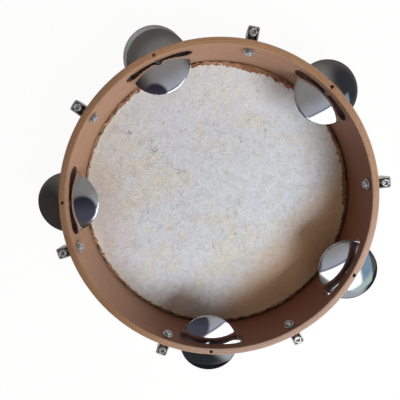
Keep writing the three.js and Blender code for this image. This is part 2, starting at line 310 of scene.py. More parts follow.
class Wire:
    """One value of a node tree, which Python arithmetic turns into Math nodes."""

    def __init__(self, tree, socket):
        self.tree = tree
        self.socket = socket

    def _math(self, operation, first, second):
        return self.tree.node("ShaderNodeMath", {"operation": operation}, {0: first, 1: second})

    def __add__(self, other):
        return self._math("ADD", self, other)

    def __radd__(self, other):
        return self._math("ADD", other, self)

    def __sub__(self, other):
        return self._math("SUBTRACT", self, other)

    def __rsub__(self, other):
        return self._math("SUBTRACT", other, self)

    def __mul__(self, other):
        return self._math("MULTIPLY", self, other)

    def __rmul__(self, other):
        return self._math("MULTIPLY", other, self)

    def __truediv__(self, other):
        return self._math("DIVIDE", self, other)

    def __rtruediv__(self, other):
        return self._math("DIVIDE", other, self)


class Tree:
    """The nodes of a material or of the world, and the coordinates that they read."""

    def __init__(self, tree, coordinates):
        self.nodes = tree.nodes
        self.links = tree.links
        self.place = self.node("ShaderNodeTexCoord", output=coordinates)

    def node(self, kind, settings=None, sockets=None, output=0):
        """Adds one node with its settings and the values or links of its sockets."""
        made = self.nodes.new(kind)
        for key, value in (settings or {}).items():
            setattr(made, key, value)
        for key, value in (sockets or {}).items():
            self.link(made.inputs[key], value)
        return Wire(self, made.outputs[output])

    def link(self, socket, value):
        if isinstance(value, Wire):
            self.links.new(value.socket, socket)
        elif socket.type == "RGBA":
            socket.default_value = (*value, 1)
        else:
            socket.default_value = value

    def axis(self, name):
        return self.node("ShaderNodeSeparateXYZ", {}, {0: self.place}, name)

    def towards(self, x, y):
        """How far a point lies from the drum's axis in one direction."""
        return self.axis("X") * x + self.axis("Y") * y

    def ramp(self, value, start, end, low=0.0, high=1.0):
        """A smooth step from low to high as the value goes from start to end."""
        sockets = {"Value": value, "From Min": start, "From Max": end, "To Min": low, "To Max": high}
        return self.node("ShaderNodeMapRange", {"interpolation_type": "SMOOTHSTEP"}, sockets)

    def band(self, value, low, high, soft):
        """1 between two limits and 0 beyond them."""
        return self.ramp(value, low - soft, low + soft) * self.ramp(value, high + soft, high - soft)

    def line(self, offset, core, edge):
        """1 where an offset is next to 0, and 0 where its square is past the edge."""
        return self.ramp(offset * offset, core, edge, 1, 0)

    def mixed(self, share, first, second):
        return self.node("ShaderNodeMix", {"data_type": "RGBA"}, {0: share, 6: first, 7: second}, 2)

    def layered(self, colour, *layers):
        """A colour with others laid over it in turn, each given as its share and its own colour."""
        for share, tint in layers:
            colour = self.mixed(share, colour, tint)
        return colour

    def light_path(self, kind):
        return self.node("ShaderNodeLightPath", output=f"Is {kind} Ray")


class Finish(Tree):
    """A procedural material that reads a piece's own coordinates."""

    def __init__(self, name, **constants):
        self.material = bpy.data.materials.new(name)
        self.material.use_nodes = True
        super().__init__(self.material.node_tree, "Object")
        self.shader = self.nodes["Principled BSDF"]
        self.feed({key.replace("_", " ").title(): value for key, value in constants.items()})

    def feed(self, sockets):
        for key, value in sockets.items():
            self.link(self.shader.inputs[key], value)

    def stretched(self, scale):
        """The piece's coordinates multiplied by a scale for each axis."""
        return self.node("ShaderNodeVectorMath", {"operation": "MULTIPLY"}, {0: self.place, 1: scale})

    def distance(self, place, centre):
        sockets = {0: place, 1: centre}
        return self.node("ShaderNodeVectorMath", {"operation": "DISTANCE"}, sockets, "Value")

    def reach(self):
        """The distance from the drum's axis."""
        return self.distance(self.stretched((1, 1, 0)), (0, 0, 0))

    def noise(self, scale, detail, roughness, place=None, distortion=0):
        sockets = {"Vector": place or self.place, "Scale": scale, "Detail": detail}
        sockets.update({"Roughness": roughness, "Distortion": distortion})
        return self.node("ShaderNodeTexNoise", {}, sockets, "Fac")

    def cells(self, scale, place):
        return self.node("ShaderNodeTexVoronoi", {}, {"Vector": place, "Scale": scale}, "Distance")

    def bump(self, height, strength, distance):
        sockets = {"Strength": strength, "Distance": distance, "Height": height}
        return self.node("ShaderNodeBump", {}, sockets)


def wood_finish():
    """Bent ply: grain that runs round the hoop, and glue lines between the plies on its edge, with painted
    shade on the shaded wall, at its foot and in the slots, and painted sheen on the back edge.
    """
    tone = bpy.context.scene.pandeiro_colours
    inner, outer = radii("hoop_frame")
    low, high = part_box("hoop_frame")
    wood = Finish("bent_ply", roughness=0.5)
    streak = wood.noise(1, 5, 0.62, wood.stretched((14, 14, 420)), 0.3)
    fibre = wood.noise(1, 3, 0.6, wood.stretched((90, 90, 1800)))
    edge_fibre = wood.noise(1, 4, 0.65, wood.stretched((420, 420, 40)))
    wave = wood.noise(1, 2, 0.5, wood.stretched((16, 16, 16)))
    patch = wood.noise(13, 4, 0.55)
    mottle = wood.noise(240, 3, 0.6)
    depth = (wood.reach() - inner) / (outer - inner)
    # how far a point lies towards the side in shade, where shade is painted
    shaded = wood.towards(*SHADED_SIDE)
    face = wood.layered(
        tone.wood_dark,
        (wood.ramp(streak, 0.3, 0.72) * 0.6 + 0.4, tone.wood),
        (wood.ramp(fibre, 0.45, 0.75) * 0.2, tone.wood_dark),
        (wood.ramp(patch, 0.42, 0.72) * 0.6, tone.wood_warm),
        (wood.ramp(mottle, 0.5, 0.8) * 0.25, tone.wood_dark),
        # painted shade: the inner wall darker and redder on its shaded side
        (wood.ramp(shaded, -0.02, 0.08) * wood.ramp(depth, 0.6, 0.3) * 0.8, tone.wood_shade),
    )
    # the back edge darker towards the left
    towards_left = wood.ramp(wood.axis("X"), -0.03, -0.115)
    rim = wood.layered(
        tone.rim,
        (wood.ramp(edge_fibre, 0.35, 0.7), tone.rim_pale),
        (towards_left * 0.55 + wood.ramp(patch, 0.45, 0.7) * 0.3, tone.rim_dark),
        (wood.ramp(wood.axis("Y"), 0.085, 0.125) * 0.5, tone.rim_gold),
        # painted sheen: the back edge paler towards the window, where it mirrors the window's light
        (wood.ramp(wood.towards(0.574, -0.819), 0.045, 0.1) * 0.6, tone.rim_sheen),
        # painted sheen: the back edge lighter on its right
        (wood.ramp(wood.axis("X"), 0.085, 0.12) * 0.35, tone.rim_right_sheen),
    )
    edge = wood.ramp(wood.axis("Z"), high.z - 0.0012, high.z - 0.0002)
    ply = depth + (wave - 0.5) * 0.05
    glue = wood.line(ply - 0.3, 0.0002, 0.0022) + wood.line(ply - 0.63, 0.0002, 0.0022)
    # painted shade: the insides of the slots and holes, which stand in shadow, made dark
    slot_shade = wood.ramp(depth, 0.03, 0.09) * wood.ramp(depth, 0.97, 0.91) * (1 - edge)
    foot = wood.axis("Z") + (patch - 0.5) * 0.004 + (mottle - 0.5) * 0.002
    # painted shade: the wall's foot next to the skin made almost black on its shaded side
    foot_shade = wood.ramp(foot, low.z + 0.0015, low.z + 0.0045, 1, 0) * wood.ramp(shaded, 0, 0.06)
    colour = wood.layered(
        face,
        (edge, rim),
        (glue * edge * 0.6, tone.glue),
        (slot_shade, tone.slot),
        # painted shade: the wall darker towards its foot, where it meets the skin
        (wood.ramp(foot, low.z + 0.001, low.z + 0.012, 1, 0) * 0.35, tone.glue),
        (foot_shade * 0.85, tone.gap_shade),
    )
    height = streak * 0.3 + fibre * 0.4 + mottle * 0.3 + edge_fibre * edge * 0.6
    wood.feed({
        "Base Color": colour,
        "Roughness": wood.ramp(edge, 0, 1, 0.56, 0.45) + (mottle - 0.5) * 0.2,
        "Normal": wood.bump(height, 0.16, 0.0005),
    })
    return wood.material


def flesh_finish():
    """The pale inner side of the goatskin, with veins, stains, fibres, hairs and specks, painted warm shade
    on its shaded side and painted light towards its top.
    """
    tone = bpy.context.scene.pandeiro_colours
    flesh = Finish("goatskin_flesh_side", roughness=0.75)
    flat = flesh.stretched((1, 1, 0.2))
    cloud = flesh.noise(13, 3, 0.55, flat, 0.6)
    hollow = flesh.noise(27, 3, 0.55, flat, 1.5)
    vein = flesh.noise(46, 3, 0.5, flat, 0.9)
    patch = flesh.noise(46, 3, 0.5, flat, 1.2)
    blotch = flesh.noise(75, 5, 0.65, flat, 1.2)
    stipple = flesh.noise(140, 4, 0.6, flat, 0.8)
    mottle = flesh.noise(330, 4, 0.7, flat, 0.5)
    grain = flesh.noise(900, 3, 0.65, flat)
    smear = flesh.noise(1, 4, 0.65, flesh.stretched((150, 48, 20)), 2.2)
    short = flesh.ramp(flesh.noise(75, 2, 0.5, flesh.stretched((1, 1, 3))), 0.62, 0.67)
    hair = flesh.line(flesh.noise(95, 2, 0.5, flat, 0.7) - 0.5, 0.00001, 0.00014) * short
    speck = flesh.ramp(flesh.cells(120, flat), 0.05, 0.12, 1, 0)
    speck = speck * flesh.ramp(flesh.noise(60, 2, 0.5, flat), 0.57, 0.61)
    strand = flesh.line(flesh.noise(62, 4, 0.6, flat, 1.6) - 0.5, 0.0, 0.0016)
    strand = strand * flesh.ramp(cloud, 0.4, 0.6)
    # how far a point lies towards the side in shade, with a blotchy edge, where warm shade is painted
    shaded = flesh.towards(*SHADED_SIDE) + (blotch - 0.5) * 0.035
    soiled = flesh.ramp(flesh.axis("X") + (blotch - 0.5) * 0.05, -0.06, -0.115)
    soiled = soiled * flesh.ramp(flesh.axis("Y"), 0.05, 0.0, 0.35, 1.3)
    border = flesh.reach() + (blotch - 0.5) * 0.012
    colour = flesh.layered(
        tone.flesh,
        (flesh.ramp(vein, 0.48, 0.66) * 0.8, tone.flesh_cool),
        (flesh.ramp(patch + (cloud - 0.5) * 1.3, 0.42, 0.78) * 0.8, tone.flesh_warm),
        (flesh.ramp(mottle, 0.42, 0.72) * 0.42, tone.flesh_dark),
        (flesh.ramp(hollow, 0.48, 0.7) * 0.16, tone.flesh_dark),
        (flesh.ramp(stipple, 0.42, 0.72) * 0.5, tone.flesh_dark),
        (flesh.ramp(grain, 0.48, 0.75) * 0.5, tone.flesh_dark),
        (flesh.ramp(grain, 0.52, 0.25) * 0.6, tone.flesh_light),
        (flesh.ramp(smear, 0.63, 0.76) * 0.5, tone.stain),
        (hair * 0.6, tone.speck),
        (speck * 0.7, tone.speck),
        # painted warm shade, with some real tanning: the skin tan on its shaded side, where light bounced
        # off the wood falls
        (flesh.ramp(shaded, 0.055, 0.1) * 0.75, tone.tan),
        (soiled * 0.3, tone.stain),
        (flesh.ramp(border, 0.112, 0.1185) * 0.5, tone.flesh_warm),
        # painted light: the skin lighter towards its top, near the wall, to make up for the wall's shade
        (flesh.ramp(flesh.axis("Y"), 0.055, 0.11) * 0.4, tone.flesh_light),
        (strand * 0.22, tone.flesh_light),
    )
    height = blotch * 0.5 + mottle * 0.6 + grain * 0.45 + hair * 0.5 + strand * 0.9
    flesh.feed({
        "Base Color": colour,
        "Roughness": flesh.ramp(mottle, 0.35, 0.7, 0.62, 0.85),
        "Normal": flesh.bump(height, 0.5, 0.0007),
    })
    return flesh.material


def rawhide_finish():
    """The tougher brown layer of the goatskin, which shows where the pale one is torn off, with painted
    shade in the gap at the hoop's wall on the shaded side.
    """
    tone = bpy.context.scene.pandeiro_colours
    wall = radii("hoop_frame")[0]
    hide = Finish("goatskin_rawhide", roughness=0.6)
    cloud = hide.noise(60, 4, 0.6, distortion=0.8)
    mottle = hide.noise(260, 5, 0.7)
    grain = hide.noise(900, 3, 0.6)
    # painted shade: a near-black line in the gap between the torn skin and the hoop's wall
    gap_shade = hide.ramp(hide.reach() + (mottle - 0.5) * 0.0016, wall - 0.0018, wall - 0.0006)
    gap_shade = gap_shade * hide.ramp(hide.reach(), wall + 0.003, wall + 0.002)
    # where that painted shade shows: in blotches, and all along the shaded side
    shade_share = hide.ramp(cloud + hide.towards(*SHADED_SIDE) * 2.2, 0.4, 0.6)
    outside = hide.ramp(hide.axis("Z"), 0.0003, 0.0001)
    outside = outside + hide.ramp(hide.reach(), wall + 0.003, wall + 0.004)
    colour = hide.layered(
        tone.rawhide_dark,
        (hide.ramp(cloud, 0.35, 0.65), tone.rawhide),
        (hide.ramp(mottle, 0.45, 0.75) * 0.6, tone.stain),
        (gap_shade * shade_share * 0.85, tone.gap_shade),
        (outside * 0.75, tone.flesh_warm),
        (outside * hide.ramp(cloud, 0.5, 0.7) * 0.4, tone.stain),
    )
    hide.feed({
        "Base Color": colour,
        "Roughness": hide.ramp(mottle, 0.3, 0.7, 0.5, 0.7),
        "Normal": hide.bump(mottle * 0.7 + grain * 0.5, 0.4, 0.0005),
    })
    return hide.material


def cane_finish():
    tone = bpy.context.scene.pandeiro_colours
    cane = Finish("flesh_hoop_cane", roughness=0.65)
    streak = cane.noise(1, 4, 0.6, cane.stretched((30, 30, 1400)))
    colour = cane.mixed(cane.ramp(streak, 0.35, 0.65), tone.wood_dark, tone.cane)
    cane.feed({"Base Color": colour, "Normal": cane.bump(streak, 0.25, 0.0005)})
    return cane.material


# Metals: colour, dulled colour, roughness where clean and where smudged, scratches, share of metal
METALS = {
    "hoop_chrome": ("chrome", "chrome_dull", (0.1, 0.22), 0.1, 1.0),
    "hook_zinc": ("zinc", "zinc_dull", (0.22, 0.4), 0.25, 1.0),
    "bracket_plate": ("plate", "plate_dull", (0.32, 0.5), 0.3, 0.6),
    "nut_chrome": ("chrome", "zinc_dull", (0.2, 0.36), 0.2, 0.75),
    "screw_zinc": ("zinc", "zinc_dull", (0.2, 0.36), 0.25, 0.8),
    "washer_zinc": ("zinc", "zinc_dull", (0.28, 0.46), 0.3, 1.0),
    "pin_wire": ("zinc_dull", "plate_dull", (0.3, 0.5), 0.3, 1.0),
    "cup_chrome": ("chrome", "chrome_dull", (0.03, 0.07), 0.03, 1.0),
    "damper_sheet": ("zinc", "zinc_dull", (0.25, 0.4), 0.3, 1.0),
}


def metal_finish(name):
    """Plated metal: smudges that change its gloss, fine scratches and a little dullness."""
    tone = bpy.context.scene.pandeiro_colours
    colour, dulled, rough, scratch, metallic = METALS[name]
    dull = getattr(tone, dulled)
    metal = Finish(name, metallic=metallic)
    smudge = metal.noise(60, 4, 0.6, distortion=0.5)
    fine = metal.noise(1, 3, 0.6, metal.stretched((900, 260, 600)))
    spots = metal.noise(330, 3, 0.6)
    tint = metal.layered(
        getattr(tone, colour),
        (metal.ramp(smudge, 0.45, 0.75) * 0.7, dull),
        (metal.ramp(spots, 0.62, 0.75) * 0.5, dull),
    )
    metal.feed({
        "Base Color": tint,
        "Roughness": metal.ramp(smudge, 0.35, 0.75, *rough),
        "Normal": metal.bump(smudge * 0.4 + fine * 0.6, scratch, 0.0002),
    })
    return metal.material


# What a user would change

def colour_property(name, description, value):
    return bpy.props.FloatVectorProperty(
        name=name, description=description, default=value, subtype="COLOR", size=3, min=0, max=1,
    )


def length_property(name, description, value):
    return bpy.props.FloatProperty(
        name=name, description=description, default=value, unit="LENGTH", min=0, precision=5,
    )


class PandeiroSizes(bpy.types.PropertyGroup):
    """Sizes that the frame leaves open."""

    edge_round: length_property("Edge rounding", "Rounding of the hoop's edges", 0.0009)
    slot_round: length_property("Slot rounding", "Rounding of the slots' edges", 0.0004)
    flesh_gap: length_property("Torn gap", "From the hoop's wall in to the pale layer of skin", 0.0006)
    flesh_tear: length_property("Tear depth", "How far the edge of the pale layer wanders", 0.0015)
    flesh_sheet: length_property("Pale layer", "Thickness of the pale layer of skin", 0.0005)
    metal_round: length_property("Metal rounding", "Rounding of the small metal pieces' edges", 0.00022)
    thread_pitch: length_property("Thread pitch", "Pitch of the threads on the hooks", 0.0005)


class PandeiroColours(bpy.types.PropertyGroup):
    """Colours of the finishes."""

    wood: colour_property("Wood", "Pale grain of the ply", (0.46, 0.268, 0.172))
    wood_dark: colour_property("Wood, dark", "Dark grain of the ply", (0.35, 0.178, 0.102))
    wood_warm: colour_property("Wood, warm", "Warmer patches of the ply", (0.42, 0.226, 0.132))
    # painted shade: the darker, redder tone of the inner wall on its shaded side
    wood_shade: colour_property("Wood, red", "Redder side of the ply", (0.26, 0.092, 0.05))
    rim: colour_property("Edge", "Back edge of the ply", (0.32, 0.176, 0.1))
    rim_pale: colour_property("Edge, pale", "Pale fibres of the back edge", (0.42, 0.252, 0.15))
    # darker patches of the back edge, and the back edge darker towards its left
    rim_dark: colour_property("Edge, dark", "Worn and darkened parts of the back edge", (0.19, 0.096, 0.05))
    rim_gold: colour_property("Edge, golden", "Golden part of the back edge", (0.43, 0.245, 0.132))
    # painted sheen of the window on the back edge
    rim_sheen: colour_property("Edge, bleached", "Bleached part of the back edge", (0.34, 0.255, 0.218))
    # painted sheen on the right of the back edge
    rim_right_sheen: colour_property("Edge, light", "Light part of the back edge", (0.5, 0.33, 0.23))
    # also gives the painted shade at the foot of the inner wall
    glue: colour_property("Glue line", "Lines between the plies", (0.14, 0.062, 0.032))
    # painted shade inside the slots and holes
    slot: colour_property("Slot", "Charred insides of the slots and holes", (0.1, 0.045, 0.034))
    flesh: colour_property("Skin", "Pale inner side of the skin", (0.6, 0.642, 0.71))
    flesh_warm: colour_property("Skin, warm", "Beige blotches of the skin", (0.62, 0.6, 0.5))
    flesh_cool: colour_property("Skin, cool", "Bluish white patches of the skin", (0.585, 0.655, 0.78))
    # also the painted light towards the top of the skin
    flesh_light: colour_property("Skin, light", "Raised grain of the skin", (0.76, 0.785, 0.815))
    flesh_dark: colour_property("Skin, dark", "Hollows in the skin's grain", (0.375, 0.385, 0.4))
    stain: colour_property("Skin stain", "Stains and smears in the skin", (0.46, 0.28, 0.15))
    # painted warm shade, with some real tanning, on the skin's shaded side
    tan: colour_property("Skin, tan", "Tanned side of the skin", (0.62, 0.41, 0.235))
    speck: colour_property("Skin specks", "Hairs and small dark specks in the skin", (0.1, 0.07, 0.05))
    rawhide: colour_property("Rawhide", "Brown layer of the skin", (0.36, 0.187, 0.106))
    rawhide_dark: colour_property("Rawhide, dark", "Dark parts of the brown layer", (0.2, 0.096, 0.051))
    # painted shade: the dark gap between the torn skin and the hoop's wall, also at the wall's foot
    gap_shade: colour_property("Crack", "Dark line where the skin passes under the hoop", (0.02, 0.012, 0.01))
    cane: colour_property("Cane", "Flesh hoop", (0.47, 0.33, 0.18))
    chrome: colour_property("Chrome", "Jingles, nuts and tension hoop", (0.83, 0.84, 0.86))
    chrome_dull: colour_property("Chrome, dull", "Smudges on the chrome", (0.68, 0.69, 0.71))
    zinc: colour_property("Zinc", "Screws, washers, hooks and discs", (0.62, 0.65, 0.68))
    zinc_dull: colour_property("Zinc, dull", "Dulled zinc and the jingles' nails", (0.42, 0.42, 0.41))
    plate: colour_property("Bracket", "Plated sheet of the brackets", (0.5, 0.47, 0.42))
    plate_dull: colour_property("Bracket, dull", "Dulled sheet of the brackets", (0.26, 0.225, 0.19))
    floor: colour_property("Floor", "Studio floor", (0.86, 0.86, 0.86))


# Pieces

class PANDEIRO_OT_wooden_hoop(bpy.types.Operator):
    """Model the bent wooden hoop with its slots and holes"""

    bl_idname = "pandeiro.wooden_hoop"
    bl_label = "Wooden hoop"

    PIN_FIT = 0.0001  # room beside a nail in its hole
    PIN_END = 0.0003  # room under a nail in its hole
    WOOD_HOLE = 0.002  # radius of the holes for the screws

    def execute(self, context):
        sizes = context.scene.pandeiro_sizes
        low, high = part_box("hoop_frame")
        inner, outer = radii("hoop_frame")
        hoop = plain_ring("wooden_hoop", inner, outer, low.z, high.z, HOOP_SIDES)
        ease(hoop, sizes.edge_round, segments=4)
        slot = self.slot_cutter(inner - 5 * MARGIN, outer + MARGIN, *slot_limits())
        line, radius = upright("jingle_pin_1")
        pin_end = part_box("jingle_pin_1")[0].z - self.PIN_END
        pin_hole = rod("pin_hole", radius + self.PIN_FIT, (line, 0, pin_end), (line, 0, high.z + MARGIN))
        height = middle("lug_screw_1").z
        screw_hole = rod(
            "screw_hole", self.WOOD_HOLE, (inner - MARGIN, 0, height), (outer + MARGIN, 0, height),
        )
        for turn in SETS.values():
            cut(hoop, copied(slot, "slot_tool", turn), copied(pin_hole, "pin_tool", turn))
        for turn in LUGS.values():
            cut(hoop, copied(screw_hole, "screw_tool", turn))
        for tool in (slot, pin_hole, screw_hole):
            discard(tool)
        ease(hoop, sizes.slot_round, angle=55)
        hand_over(hoop, "drum", "hoop_wood", wood_finish(), "hoop_frame")
        return {"FINISHED"}

    def slot_cutter(self, start, end, low, high, half):
        """A bar with round ends, which lies across the wall."""
        sides = 48
        turn = math.pi / sides
        radius = (high - low) / 2
        bar = rod("slot", radius / math.cos(turn), (start, 0, 0), (end, 0, 0), sides)
        edit(bar)
        bpy.ops.transform.rotate(value=turn, orient_axis="X", center_override=(0, 0, 0))
        for side in (1, -1):
            pick(bar, "VERT", lambda place, item: place.y * side > 0)
            bpy.ops.transform.translate(value=(0, side * (half - radius), 0))
        bpy.ops.mesh.select_all(action="SELECT")
        bpy.ops.transform.translate(value=(0, 0, (low + high) / 2))
        let_go()
        return bar


class PANDEIRO_OT_goatskin_head(bpy.types.Operator):
    """Model the skin: its flat membrane, its collar and its lap"""

    bl_idname = "pandeiro.goatskin_head"
    bl_label = "Goatskin head"

    COLLAR_GAP = 0.0003  # from the hoop to the skin's collar
    CORNER = 0.00165  # bend of the skin round the hoop's edge
    FOLD = 0.0007  # bends of the skin over the flesh hoop
    EDGE_ROUND = 0.0001
    LOOPS = (0.03, 0.075, 0.11)  # radii of the loops of points in the flat membrane

    def execute(self, context):
        low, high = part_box("head_skin")
        half = SKIN_SHEET / 2
        face = low.z + half
        top = high.z - half - self.FOLD
        collar = radii("hoop_frame")[1] + self.COLLAR_GAP + half
        lap = (high.x - low.x) / 2 - half
        profile = [(reach, face) for reach in self.LOOPS]
        profile += arc((collar - self.CORNER, face + self.CORNER), self.CORNER, -90, 0, 6)
        profile += arc((collar + self.FOLD, top), self.FOLD, 180, 90, 5)
        profile += arc((lap - self.FOLD, top), self.FOLD, 90, 0, 5)
        profile += [(lap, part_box("flesh_hoop")[0].z)]
        head = turned("goatskin_head", profile, HOOP_SIDES, disc=True)
        modify(head, "SOLIDIFY", thickness=SKIN_SHEET, offset=0, use_even_offset=True)
        ease(head, self.EDGE_ROUND, angle=60)
        hand_over(head, "drum", "goatskin", rawhide_finish(), "head_skin")
        return {"FINISHED"}


class PANDEIRO_OT_torn_flesh(bpy.types.Operator):
    """Model the pale layer of the skin, torn off at the hoop's wall, and the brown fringe round it"""

    bl_idname = "pandeiro.torn_flesh"
    bl_label = "Torn pale layer"

    # where the tear runs deeper, as first angle, last angle and depth
    TORN = (
        (-3, 12, 0.0024), (12, 36, 0.0018), (36, 87, 0.003),
        (87, 105, 0.001), (124, 137, 0.0011), (138, 147, 0.0005),
    )
    WALL_GAP = 0.0004  # from the hoop's wall to what climbs it
    CLIMB = 1.2  # how steeply it turns up
    FLAT = 0.0009  # height of the pale layer's middle
    CURL = 0.0004  # how far its torn edge stands up
    # the pale layer from its edge inwards, as share of its reach and height
    LEVELS = ((0.994, 0.0011), (0.98, 0.00095), (0.94, FLAT), (0.8, FLAT), (0.5, FLAT))
    # how the edge is torn, ever finer, as share of the tear's depth and cuts of each edge
    TEARS = ((0.8, 2), (0.4, 2), (0.28, 1), (0.18, 0))
    # the fringe towards the wall, as distance from the axis and height
    LIP = (
        (0.1135, 0.0007), (0.1165, 0.0009), (0.1182, 0.0012),
        (0.1196, 0.0016), (0.1205, 0.0024), (0.1211, 0.0036),
    )
    LIP_SHEET = 0.0003
    LIP_START = 0.1198  # where the fringe begins, apart from the deeper tears
    # how the fringe is crumbled, as size, seed and distance from the axis
    CRUMBLING = ((0.0011, 21, 0.1176), (0.0006, 22, 0.1162), (0.0004, 23, 0.115))
    # the loose crumbs along the tear
    CRUMB_ANGLES = (-85, 130)
    CRUMB_REACH = 0.1203  # how far out they lie
    CRUMB_SPREAD = 0.0008  # how far in from there, apart from the deeper tears
    CRUMB_HEIGHTS = (0.0012, 0.002)
    CRUMB_SCALES = (0.5, 1.5)
    FLAKE = 0.0008  # radius of a crumb
    FLAKE_SHEET = 0.00025

    def execute(self, context):
        sizes = context.scene.pandeiro_sizes
        wall = radii("hoop_frame")[0] - self.WALL_GAP
        flesh = self.pale_layer(sizes, wall)
        fringe = self.fringe(wall)
        hand_over(flesh, "drum", "goatskin", flesh_finish())
        hand_over(fringe, "drum", "goatskin", rawhide_finish())
        return {"FINISHED"}

    def pale_layer(self, sizes, wall):
        reach = wall - sizes.flesh_gap
        centre = (0, 0, self.FLAT)
        flesh = begin(
            "goatskin_flesh", bpy.ops.mesh.primitive_circle_add,
            vertices=48, radius=reach, location=centre, fill_type="NOTHING",
        )
        edit(flesh)
        for level, (tear, cuts) in enumerate(self.TEARS):
            bpy.ops.mesh.select_all(action="SELECT")
            bpy.ops.transform.vertex_random(offset=sizes.flesh_tear * tear, uniform=1, seed=3 + level)
            bpy.ops.transform.resize(value=(1, 1, 0), center_override=centre)
            if cuts:
                bpy.ops.mesh.subdivide(number_cuts=cuts, smoothness=0)
        for start, end, depth in self.TORN:
            pick(flesh, "VERT", lambda place, item: start < self.bearing(place) < end)
            ratio = 1 - depth / reach
            bpy.ops.transform.resize(value=(ratio, ratio, 1), center_override=centre)
        pick(flesh, "EDGE", everything)
        bpy.ops.transform.translate(value=(0, 0, self.CURL))
        previous = 1.0
        for share, height in self.LEVELS:
            ratio = share / previous
            bpy.ops.mesh.extrude_edges_move(TRANSFORM_OT_translate={"value": (0, 0, 0)})
            bpy.ops.transform.resize(value=(ratio, ratio, 0), center_override=(0, 0, height))
            previous = share
        bpy.ops.mesh.edge_face_add()
        close(flesh)
        self.climb(flesh, wall)
        modify(flesh, "SOLIDIFY", thickness=sizes.flesh_sheet, offset=0)
        shade(flesh, 50)
        return flesh

    def climb(self, piece, wall):
        """Lays a piece on the skin, and turns up the wall whatever would reach past it."""
        for vertex in piece.data.vertices:
            vertex.co.z = max(vertex.co.z, SKIN_SHEET)
            reach = math.hypot(vertex.co.x, vertex.co.y)
            if reach > wall:
                vertex.co.z += (reach - wall) * self.CLIMB
                vertex.co.x *= wall / reach
                vertex.co.y *= wall / reach

    def fringe(self, wall):
        """A crumbled lip of brown hide between the pale layer and the wall."""
        lip = turned("torn_fringe", self.LIP, 300)
        edit(lip)
        for offset, seed, start in self.CRUMBLING:
            pick(lip, "VERT", lambda place, item: math.hypot(place.x, place.y) > start)
            bpy.ops.transform.vertex_random(offset=offset, uniform=1, seed=seed)
        pick(lip, "FACE", self.covered)
        bpy.ops.mesh.delete(type="FACE")
        let_go()
        self.climb(lip, wall)
        modify(lip, "SOLIDIFY", thickness=self.LIP_SHEET, offset=0)
        join(lip, *self.crumbs())
        shade(lip, 30)
        return lip

    def covered(self, place, item):
        """Whether a face of the lip lies under the pale layer."""
        return math.hypot(place.x, place.y) < self.LIP_START - self.depth(self.bearing(place))

    def bearing(self, place):
        """The angle in degrees at which a point lies round the drum."""
        return math.degrees(math.atan2(place.y, place.x))

    def depth(self, angle):
        """How much deeper the tear runs at an angle round the drum."""
        return sum(depth for start, end, depth in self.TORN if start < angle < end)

    def crumbs(self):
        """Loose scraps of hide along the tear."""
        flake = self.flake()
        chance = random.Random(5)
        scraps = []
        for number in range(100):
            angle = chance.uniform(*self.CRUMB_ANGLES)
            reach = self.CRUMB_REACH - chance.uniform(0, 1) * (self.depth(angle) + self.CRUMB_SPREAD)
            place = Matrix.Translation((reach, 0, chance.uniform(*self.CRUMB_HEIGHTS)))
            tilt = Matrix.Rotation(chance.uniform(-0.5, 0.5), 4, "Y")
            tilt = tilt @ turn_to(chance.uniform(0, 6.3))
            size = Matrix.Scale(chance.uniform(*self.CRUMB_SCALES), 4)
            turn = turn_to(math.radians(angle))
            scraps.append(copied(flake, f"crumb_{number}", turn @ place @ tilt @ size))
        discard(flake)
        return scraps

    def flake(self):
        """One torn scrap of hide."""
        scrap = begin(
            "flake", bpy.ops.mesh.primitive_circle_add, vertices=7, radius=self.FLAKE, fill_type="NGON",
        )
        edit(scrap)
        bpy.ops.transform.vertex_random(offset=0.0003, uniform=1, seed=4)
        bpy.ops.transform.resize(value=(1.5, 0.8, 0.6))
        pick(scrap, "FACE", everything)
        extrude(0, 0, self.FLAKE_SHEET)
        bpy.ops.transform.resize(value=(0.8, 0.8, 1))
        close(scrap)
        return scrap


class PANDEIRO_OT_stretching_hoops(bpy.types.Operator):
    """Model the flesh hoop and the tension hoop"""

    bl_idname = "pandeiro.stretching_hoops"
    bl_label = "Stretching hoops"

    def execute(self, context):
        chrome = metal_finish("hoop_chrome")
        for node, name, rounding, body, slot, finish in (
            ("flesh_hoop", "cane_flesh_hoop", 0.0007, "drum", "flesh_hoop_cane", cane_finish()),
            ("tension_hoop", "chrome_tension_hoop", 0.0009, "tensioner", "hoop_chrome", chrome),
        ):
            low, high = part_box(node)
            ring = plain_ring(name, *radii(node), low.z, high.z, 200)
            ease(ring, rounding, segments=4)
            hand_over(ring, body, slot, finish, node)
        return {"FINISHED"}


